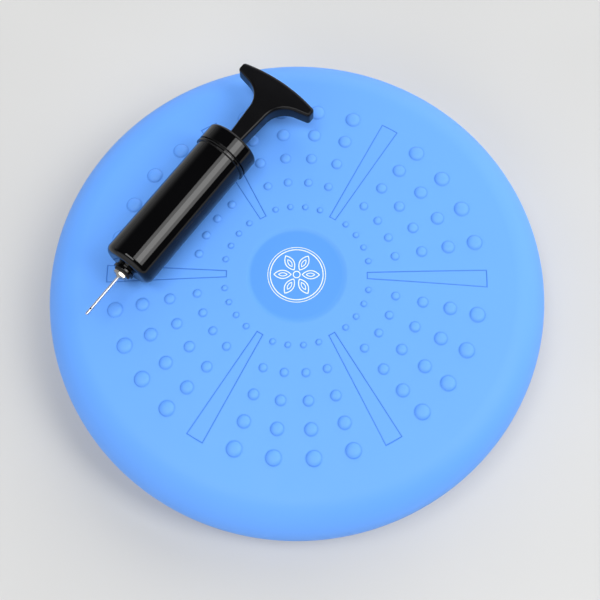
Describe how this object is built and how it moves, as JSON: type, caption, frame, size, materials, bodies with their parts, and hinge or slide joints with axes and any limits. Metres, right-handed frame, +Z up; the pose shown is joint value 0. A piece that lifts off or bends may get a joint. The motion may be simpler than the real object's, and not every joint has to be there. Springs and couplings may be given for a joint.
{
  "type": "wobble cushion",
  "caption": "Inflatable round wobble cushion with massage nubs, and the T-handle hand pump and inflation needle that fill it lying on top.",
  "frame": {"origin": "middle of the flat patch that the cushion stands on, on the floor, under the centre of the disc", "axes": "+Z up through the disc's centre; +X along one of the tapered panels; the inflation valve is on -X, underneath"},
  "size_m": [0.33, 0.3298, 0.0965],
  "materials": {
    "blue_vinyl": "soft satin sky-blue vinyl",
    "valve_plastic": "moulded, satin",
    "seal_rubber": "matt black rubber",
    "gloss_black_plastic": "polished black",
    "satin_black_plastic": "satin black",
    "grey_plastic": "moulded, matt",
    "spring_steel": "drawn wire",
    "plated_steel": "bright steel",
    "bright_plate": "nickel plate",
    "white_ink": "printed white ink"
  },
  "bodies": {
    "cushion": {"cushion_envelope": "blue_vinyl", "valve_socket": "valve_plastic", "valve_core": "seal_rubber"},
    "pump": {"pump_barrel": "gloss_black_plastic", "barrel_collar": "gloss_black_plastic", "rod_guide": "grey_plastic", "spring_retainer": "grey_plastic", "outlet_spring": "spring_steel"},
    "plunger": {"t_handle": "satin_black_plastic", "plunger_rod": "grey_plastic", "piston_head": "grey_plastic", "piston_seal": "seal_rubber", "piston_screw": "plated_steel", "bumper_ring": "seal_rubber"},
    "outlet_valve": {"outlet_valve": "seal_rubber"},
    "gasket": {"needle_gasket": "seal_rubber"},
    "needle": {"needle_base": "bright_plate", "needle_tube": "plated_steel"}
  },
  "joints": [
    {"name": "pump_lift_off", "type": "slide", "parent": "cushion", "child": "pump", "axis": [0, 0, 1], "range_m": [0, 0.12]},
    {"name": "plunger_slide", "type": "slide", "parent": "pump", "child": "plunger", "axis": [0.5934, 0.8049, 0], "range_m": [0, 0.0708]},
    {"name": "outlet_valve_lift", "type": "slide", "parent": "pump", "child": "outlet_valve", "axis": [-0.5934, -0.8049, 0], "range_m": [0, 0.001], "stiffness_N_per_m": 100, "springref_m": -0.001, "deforming": ["outlet_spring"]},
    {"name": "gasket_travel", "type": "slide", "parent": "pump", "child": "gasket", "axis": [-0.5934, -0.8049, 0], "range_m": [0, 0.005]},
    {"name": "needle_unscrew", "type": "hinge", "parent": "gasket", "child": "needle", "pos_m": [-0.10942, -0.00704, 0.07785], "axis": [-0.5934, -0.8049, 0], "range_deg": [0, 1800]}
  ],
  "couplings": [
    {"joint": "needle_unscrew", "follows": "gasket_travel", "rad_per_m": 6283.2}
  ]
}
